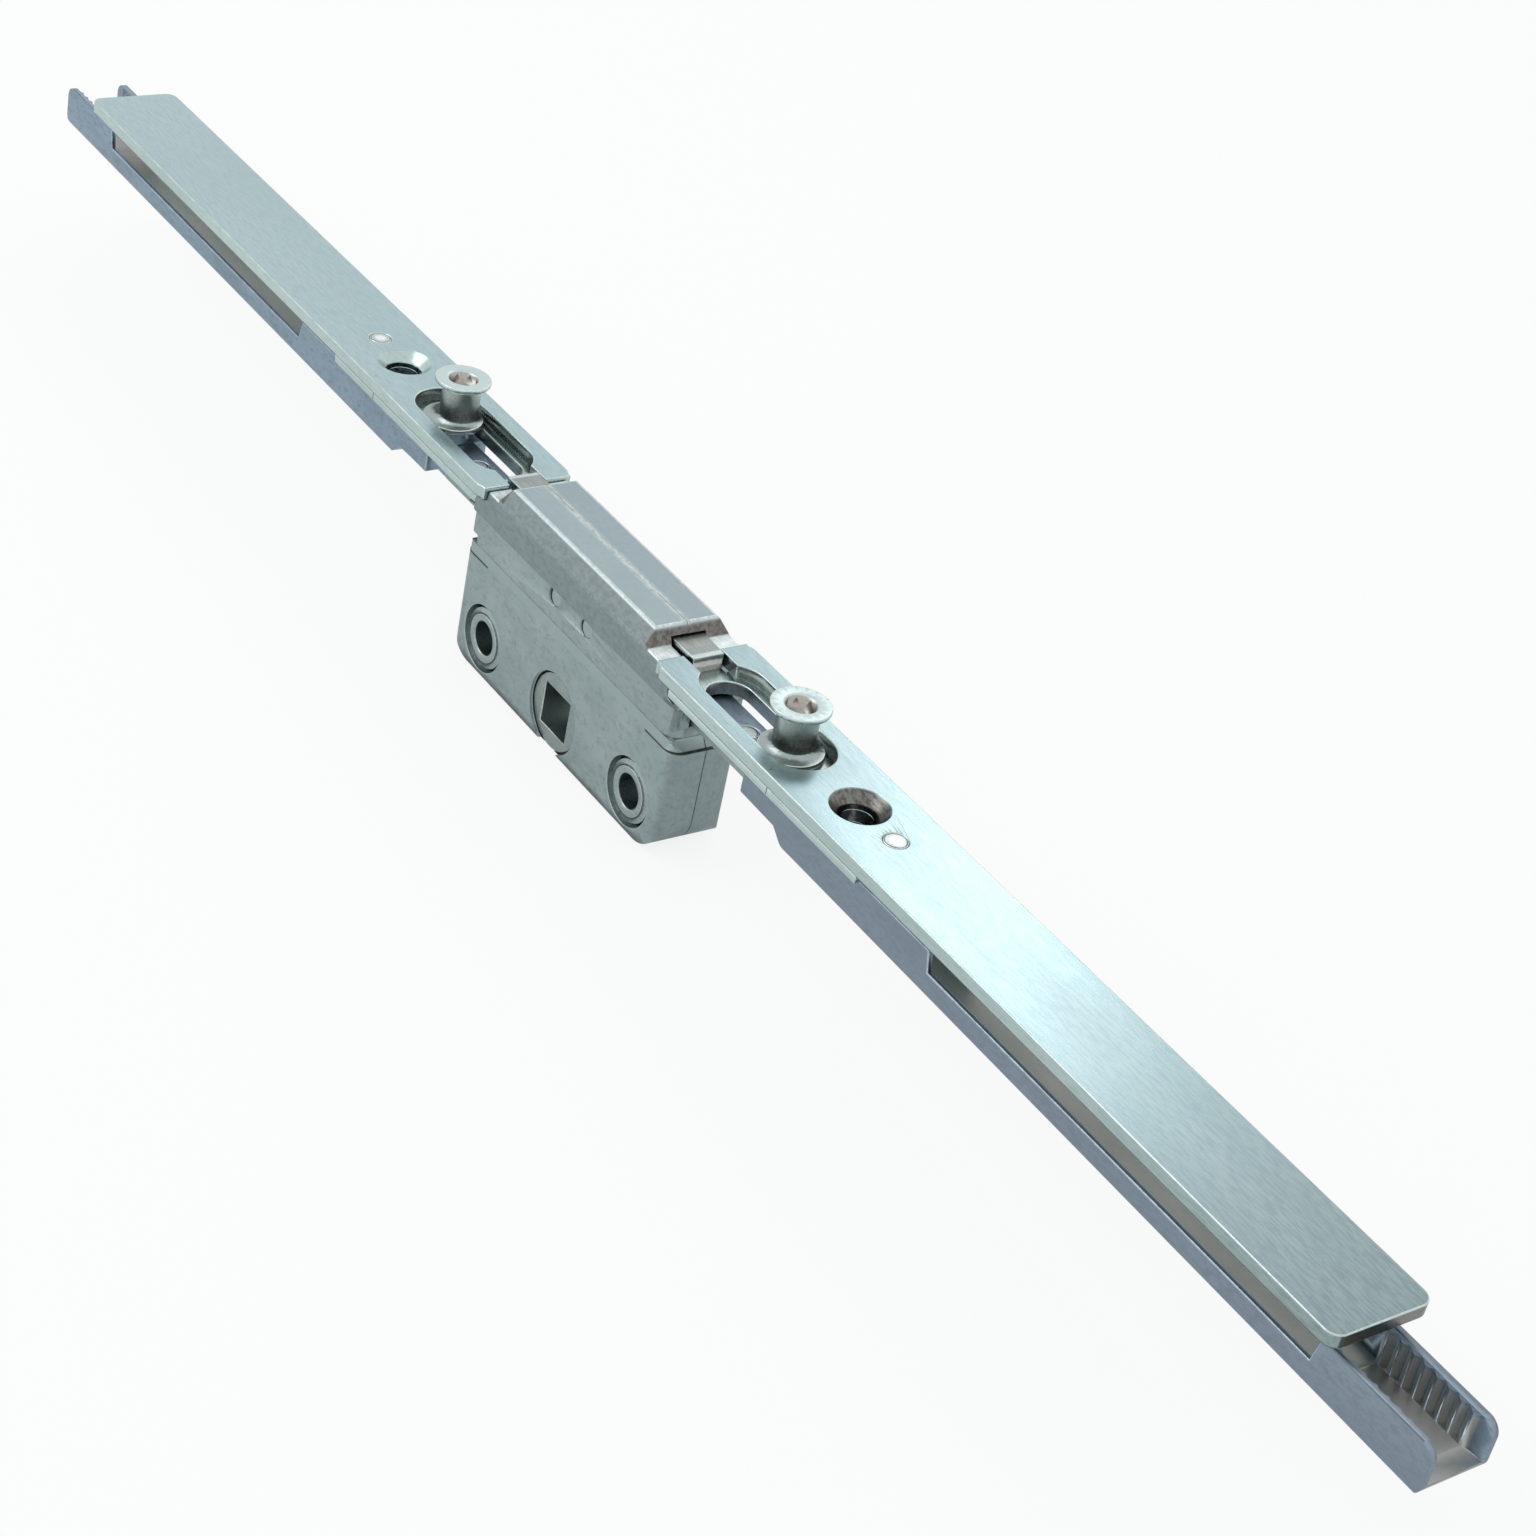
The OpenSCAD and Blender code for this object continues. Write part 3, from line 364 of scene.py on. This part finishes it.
# The golden angle spreads the lines evenly over a sphere
turn = np.pi * (3 - 5 ** 0.5) * np.arange(WAY_COUNT)
rise = 1 - (2 * np.arange(WAY_COUNT) + 1) / WAY_COUNT
WAYS = [Vector(way) for way in np.stack([np.cos(turn) * (1 - rise ** 2) ** 0.5,
                                         np.sin(turn) * (1 - rise ** 2) ** 0.5, rise], axis=1).tolist()]


def seen_from_outside(edge):
    """Whether a straight line from just over the edge's middle leaves the whole part. Lines that start into the
    edge's own faces aren't tried."""
    normals = [face.normal for face in edge.link_faces]
    start = (edge.verts[0].co + edge.verts[1].co) / 2 + (normals[0] + normals[1]).normalized() * WAY_START_MM * MM
    return any(whole_tree.ray_cast(start, way)[0] is None for way in WAYS
               if max(way.dot(normals[0]), way.dot(normals[1])) > GRAZING)


def depths(area, outline):
    """How far a flat area reaches behind each edge of its outline, in millimetres. From the probed points of the
    edge a line runs into the area, square to the edge, and its length t to a segment from a along e solves
    point + t n = a + s e with s between 0 and 1. The least t counts."""
    inside = set(area)
    normal = area[0].normal
    u = normal.orthogonal().normalized()
    v = normal.cross(u)
    loops = [next(loop for loop in edge.link_loops if loop.face in inside) for edge in outline]
    a = np.array([(loop.vert.co.dot(u), loop.vert.co.dot(v)) for loop in loops]) / MM
    b = np.array([(loop.link_loop_next.vert.co.dot(u), loop.link_loop_next.vert.co.dot(v)) for loop in loops]) / MM
    e = b - a
    n = np.stack([-e[:, 1], e[:, 0]], axis=1) / np.linalg.norm(e, axis=1)[:, None]
    least = np.full(len(outline), np.inf)
    for share in PROBES:
        gap = a[None] - (a + share * e)[:, None]
        with np.errstate(divide="ignore", invalid="ignore"):
            slant = n[:, None, 0] * e[None, :, 1] - n[:, None, 1] * e[None, :, 0]
            t = (gap[..., 0] * e[None, :, 1] - gap[..., 1] * e[None, :, 0]) / slant
            s = (gap[..., 0] * n[:, None, 1] - gap[..., 1] * n[:, None, 0]) / slant
            least = np.minimum(least, np.where((t > 1e-4) & (s >= 0) & (s <= 1), t, np.inf).min(axis=1))
    return least


def round_widths(shape, largest, seam):
    """The round that each sharp outer edge gets, in millimetres: a share of the lesser depth of its two flat
    areas. Inner corners stay sharp. A run of edges that are nearly in line gets one width, its least, because the
    sides of unequal rounds would meet far away. A run with hardly any room stays sharp, and so does one that is
    mostly out of sight inside the part."""
    width_beside = {}
    for area in flat_areas(shape):
        outline = outline_of(area)
        for edge, depth in zip(outline, depths(area, outline)):
            width_beside[edge] = min(depth, width_beside.get(edge, math.inf))
    sharp = [edge for edge in shape.edges
             if len(edge.link_faces) == 2 and edge.calc_face_angle() > SHARP and edge.is_convex]
    run_of = {edge: edge for edge in sharp}

    def head(edge):
        while run_of[edge] is not edge:
            edge = run_of[edge]
        return edge

    for corner in shape.verts:
        beside = [edge for edge in corner.link_edges if edge in run_of]
        ways = [(edge.other_vert(corner).co - corner.co).normalized() for edge in beside]
        for i in range(len(beside)):
            for j in range(i):
                if ways[i].dot(ways[j]) < -math.cos(STRAIGHT):
                    run_of[head(beside[i])] = head(beside[j])
    least, seen = {}, {}
    for edge in sharp:
        width = min(largest, ROOM_SHARE * width_beside[edge])
        if seam and all(abs(corner.co.y) < WELD for corner in edge.verts):
            width = min(width, SEAM_ROUND_MM)
        least[head(edge)] = min(width, least.get(head(edge), math.inf))
        seen.setdefault(head(edge), []).append(seen_from_outside(edge))
    return {edge: least[head(edge)] for edge in sharp
            if least[head(edge)] > LEAST_ROUND_MM and np.mean(seen[head(edge)]) > SEEN_SHARE}


def recut(shape, area):
    """Cuts a flat area into triangles from its outline and holes alone. A triangle of the outline's constrained
    Delaunay net belongs to the area if a line from its middle crosses the outline an odd number of times. The old
    faces stay where the triangles would leave an edge open."""
    outline = outline_of(area)
    corners = list(dict.fromkeys(corner for edge in outline for corner in edge.verts))
    number = {corner: i for i, corner in enumerate(corners)}
    normal = sum((face.normal * face.calc_area() for face in area), Vector()).normalized()
    u = normal.orthogonal().normalized()
    v = normal.cross(u)
    flat = [Vector((corner.co.dot(u), corner.co.dot(v))) / MM for corner in corners]
    lines = [(number[edge.verts[0]], number[edge.verts[1]]) for edge in outline]
    points, _, triangles, source, _, _ = delaunay_2d_cdt(flat, lines, [], 0, 1e-7)
    if len(points) != len(flat) or any(len(s) != 1 for s in source):
        return
    p = np.array([tuple(point) for point in flat])
    first, second = p[[a for a, _ in lines]], p[[b for _, b in lines]]
    chosen = [[source[i][0] for i in triangle] for triangle in triangles]
    middle = p[np.array(chosen)].mean(axis=1)
    above = (first[:, 1] > middle[:, 1:]) != (second[:, 1] > middle[:, 1:])
    with np.errstate(divide="ignore", invalid="ignore"):
        crossing = first[:, 0] + (middle[:, 1:] - first[:, 1]) * (second - first)[:, 0] / (second - first)[:, 1]
    odd = (above & (crossing > middle[:, :1])).sum(axis=1) % 2 == 1
    kept = [triangle for triangle, inside in zip(chosen, odd) if inside]
    uses = Counter(frozenset(side) for a, b, c in kept for side in ((a, b), (b, c), (c, a)))
    border = {frozenset(line) for line in lines}
    if set(uses) >= border and all(count == (1 if side in border else 2) for side, count in uses.items()):
        bmesh.ops.delete(shape, geom=area, context="FACES_ONLY")
        for triangle in kept:
            shape.faces.new([corners[i] for i in triangle])


def finished(node):
    """A copy of a CAD node, its loose triangles welded and its flat faces joined. Its sharp outer edges are rounded
    over by as much as their faces have room for, and the rounds take the rubbed finish."""
    slot = slot_of[node]
    largest = EDGE_ROUND_MM[slot]
    mesh = bpy.data.meshes.new(node)
    shape = bmesh.new()
    shape.from_mesh(frame["nodes"][node].data)
    bmesh.ops.remove_doubles(shape, verts=shape.verts, dist=WELD)
    bmesh.ops.dissolve_limit(shape, angle_limit=FLAT, verts=shape.verts, edges=shape.edges, delimit=set())
    weight = shape.edges.layers.float.new("bevel_weight_edge")
    for face in shape.faces:
        face.material_index = 0
    for edge, width in round_widths(shape, largest, slot == "cast_zinc_case").items():
        edge[weight] = width / largest
    shape.to_mesh(mesh)
    shape.free()

    rounded = bpy.data.objects.new(node, mesh)
    bpy.context.scene.collection.objects.link(rounded)
    mesh.materials.append(finishes[slot][0])
    mesh.materials.append(finishes[slot][1])
    rounding = rounded.modifiers.new("rounding", "BEVEL")
    rounding.limit_method = "WEIGHT"
    rounding.width = largest * MM
    rounding.segments = 3 if largest > THREE_STEPS_MM else 2
    rounding.loop_slide = False
    rounding.use_clamp_overlap = False
    rounding.material = 1
    result = bpy.data.meshes.new_from_object(rounded.evaluated_get(bpy.context.evaluated_depsgraph_get()))
    bpy.data.objects.remove(rounded)
    result.name = node + "_finished"

    shape = bmesh.new()
    shape.from_mesh(result)
    bmesh.ops.remove_doubles(shape, verts=shape.verts, dist=SLIVER)
    for area in list(flat_areas(shape)):
        if len(area) > 1 or len(area[0].verts) > 4:
            recut(shape, area)
    bmesh.ops.delete(shape, geom=[edge for edge in shape.edges if not edge.link_faces], context="EDGES")
    for face in shape.faces:
        face.smooth = True
    shape.to_mesh(result)
    shape.free()
    piece = bpy.data.objects.new(node + "_finished", result)
    bpy.context.scene.collection.objects.link(piece)
    piece.modifiers.new("even_faces", "WEIGHTED_NORMAL").keep_sharp = True
    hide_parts(node)
    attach(piece, body_of[node])


for node in sorted(frame["nodes"]):
    finished(node)


# Camera at the photograph's viewing angle. It was fitted to the part's known sizes in the photograph.

AZIMUTH, ELEVATION, ROLL = 49.497, 32.720, 12.541
DISTANCE = 472.8 * MM
FOCAL_PX = 3144.9
IMAGE_PX = 1536
ORIGIN_PX = (586.32, 706.28)     # where the spindle socket's centre lies in the image
SENSOR_MM = 36


def view_axes(azimuth, elevation, roll):
    """The camera's right, up and back directions, as rows, for angles in degrees."""
    a, e, r = (math.radians(angle) for angle in (azimuth, elevation, roll))
    back = Vector((math.sin(a) * math.cos(e), -math.cos(a) * math.cos(e), math.sin(e)))
    right = Vector((0, 0, 1)).cross(back).normalized()
    up = back.cross(right)
    turned_right = right * math.cos(r) + up * math.sin(r)
    turned_up = up * math.cos(r) - right * math.sin(r)
    return Matrix((turned_right, turned_up, back))


axes = view_axes(AZIMUTH, ELEVATION, ROLL)
off_x = (ORIGIN_PX[0] - IMAGE_PX / 2) * DISTANCE / FOCAL_PX
off_y = -(ORIGIN_PX[1] - IMAGE_PX / 2) * DISTANCE / FOCAL_PX
camera = bpy.data.objects.new("camera", bpy.data.cameras.new("camera"))
camera.data.sensor_width = SENSOR_MM
camera.data.lens = FOCAL_PX / IMAGE_PX * SENSOR_MM
camera.data.clip_start = 0.01
camera.data.clip_end = 20
camera.matrix_world = Matrix.Translation(axes.transposed() @ Vector((-off_x, -off_y, DISTANCE))) \
    @ axes.transposed().to_4x4()
bpy.context.scene.collection.objects.link(camera)
bpy.context.scene.camera = camera


# Floor, world and lamps

FLOOR_HALF = 4.0                 # metres from the middle to each side
FLOOR_BELOW_MM = 0.2             # gap under the part
FLOOR_SHOWN_WHITE = 0.85         # share of plain white in the floor that the camera sees; the rest keeps the shadow
FLOOR_MIRRORED_WHITE = 0.3       # the same for the floor that metal mirrors


def floor():
    """A plain pale sheet under the part."""
    z = cad_low.z - FLOOR_BELOW_MM * MM
    mesh = bpy.data.meshes.new("floor")
    corners = [(x * FLOOR_HALF, y * FLOOR_HALF, z) for x, y in ((-1, -1), (1, -1), (1, 1), (-1, 1))]
    mesh.from_pydata(corners, [], [(0, 1, 2, 3)])
    material = bpy.data.materials.new("pale_floor")
    material.use_nodes = True
    tree = material.node_tree
    tree.nodes.clear()
    rays = add(tree, "ShaderNodeLightPath").outputs
    bounced = add(tree, "ShaderNodeMath", {"operation": "ADD"},
                  {0: rays["Is Glossy Ray"], 1: rays["Is Transmission Ray"]}).outputs[0]
    mirrored = add(tree, "ShaderNodeMath", {"operation": "MULTIPLY", 1: FLOOR_MIRRORED_WHITE},
                   {0: bounced}).outputs[0]
    white_share = add(tree, "ShaderNodeMath", {"operation": "MULTIPLY_ADD", 1: FLOOR_SHOWN_WHITE},
                      {0: rays["Is Camera Ray"], 2: mirrored}).outputs[0]
    paint = add(tree, "ShaderNodeBsdfDiffuse", {"Color": srgb("#F2F4F4")}).outputs[0]
    white = add(tree, "ShaderNodeEmission", {"Color": (1, 1, 1, 1), "Strength": 1.0}).outputs[0]
    mixed = add(tree, "ShaderNodeMixShader", {}, {0: white_share, 1: paint, 2: white}).outputs[0]
    add(tree, "ShaderNodeOutputMaterial", {}, {"Surface": mixed})
    mesh.materials.append(material)
    sheet = bpy.data.objects.new("floor", mesh)
    bpy.context.scene.collection.objects.link(sheet)


def world():
    """A soft studio room, brighter overhead than at the horizon, white to the camera and in the metal."""
    studio = bpy.data.worlds.new("studio")
    bpy.context.scene.world = studio
    studio.use_nodes = True
    tree = studio.node_tree
    tree.nodes.clear()
    direction = add(tree, "ShaderNodeTexCoord").outputs["Generated"]
    height = add(tree, "ShaderNodeSeparateXYZ", {}, {0: direction}).outputs[2]
    rise = add(tree, "ShaderNodeMapRange", {"From Min": 0.0, "From Max": 0.9}, {"Value": height}).outputs[0]
    tone = add(tree, "ShaderNodeMix", {"data_type": "RGBA", 6: srgb("#B4BDC0"), 7: srgb("#F4F8F8")},
               {0: rise}).outputs[2]
    lit = add(tree, "ShaderNodeBackground", {"Strength": 0.95}, {"Color": tone}).outputs[0]
    white = add(tree, "ShaderNodeBackground", {"Color": (1, 1, 1, 1), "Strength": 1.0}).outputs[0]
    rays = add(tree, "ShaderNodeLightPath").outputs
    bounced = add(tree, "ShaderNodeMath", {"operation": "MAXIMUM"},
                  {0: rays["Is Glossy Ray"], 1: rays["Is Transmission Ray"]}).outputs[0]
    shown = add(tree, "ShaderNodeMath", {"operation": "MAXIMUM"},
                {0: rays["Is Camera Ray"], 1: bounced}).outputs[0]
    mixed = add(tree, "ShaderNodeMixShader", {}, {0: shown, 1: lit, 2: white}).outputs[0]
    add(tree, "ShaderNodeOutputWorld", {}, {"Surface": mixed})


def lamp(name, aim_mm, toward, distance, size, power):
    """A square soft lamp at a distance from the point aim_mm, in a direction, facing back to that point."""
    light = bpy.data.lights.new(name, "AREA")
    light.size = size
    light.energy = power
    holder = bpy.data.objects.new(name, light)
    way = Vector(toward).normalized()
    holder.location = Vector(aim_mm) * MM + way * distance
    holder.rotation_euler = way.to_track_quat("Z", "Y").to_euler()
    bpy.context.scene.collection.objects.link(holder)


def mirror_way(point_mm, normal):
    """The direction in which the camera sees the room mirrored in a flat face at point_mm."""
    sight = (Vector(point_mm) * MM - camera.location).normalized()
    n = Vector(normal).normalized()
    return sight - 2 * sight.dot(n) * n


floor()
world()
lamp("key", aim_mm=(0, 0, 15), toward=(-0.55, -0.7, 1.0), distance=0.8, size=0.5, power=1.2)
# A small lamp that the camera sees mirrored in the top of the right faceplate
highlight = (88, 0, 25)
lamp("highlight", aim_mm=highlight, toward=mirror_way(highlight, (0, 0, 1)), distance=0.8, size=0.12, power=0.13)

scene = bpy.context.scene
scene.view_settings.view_transform = "Standard"
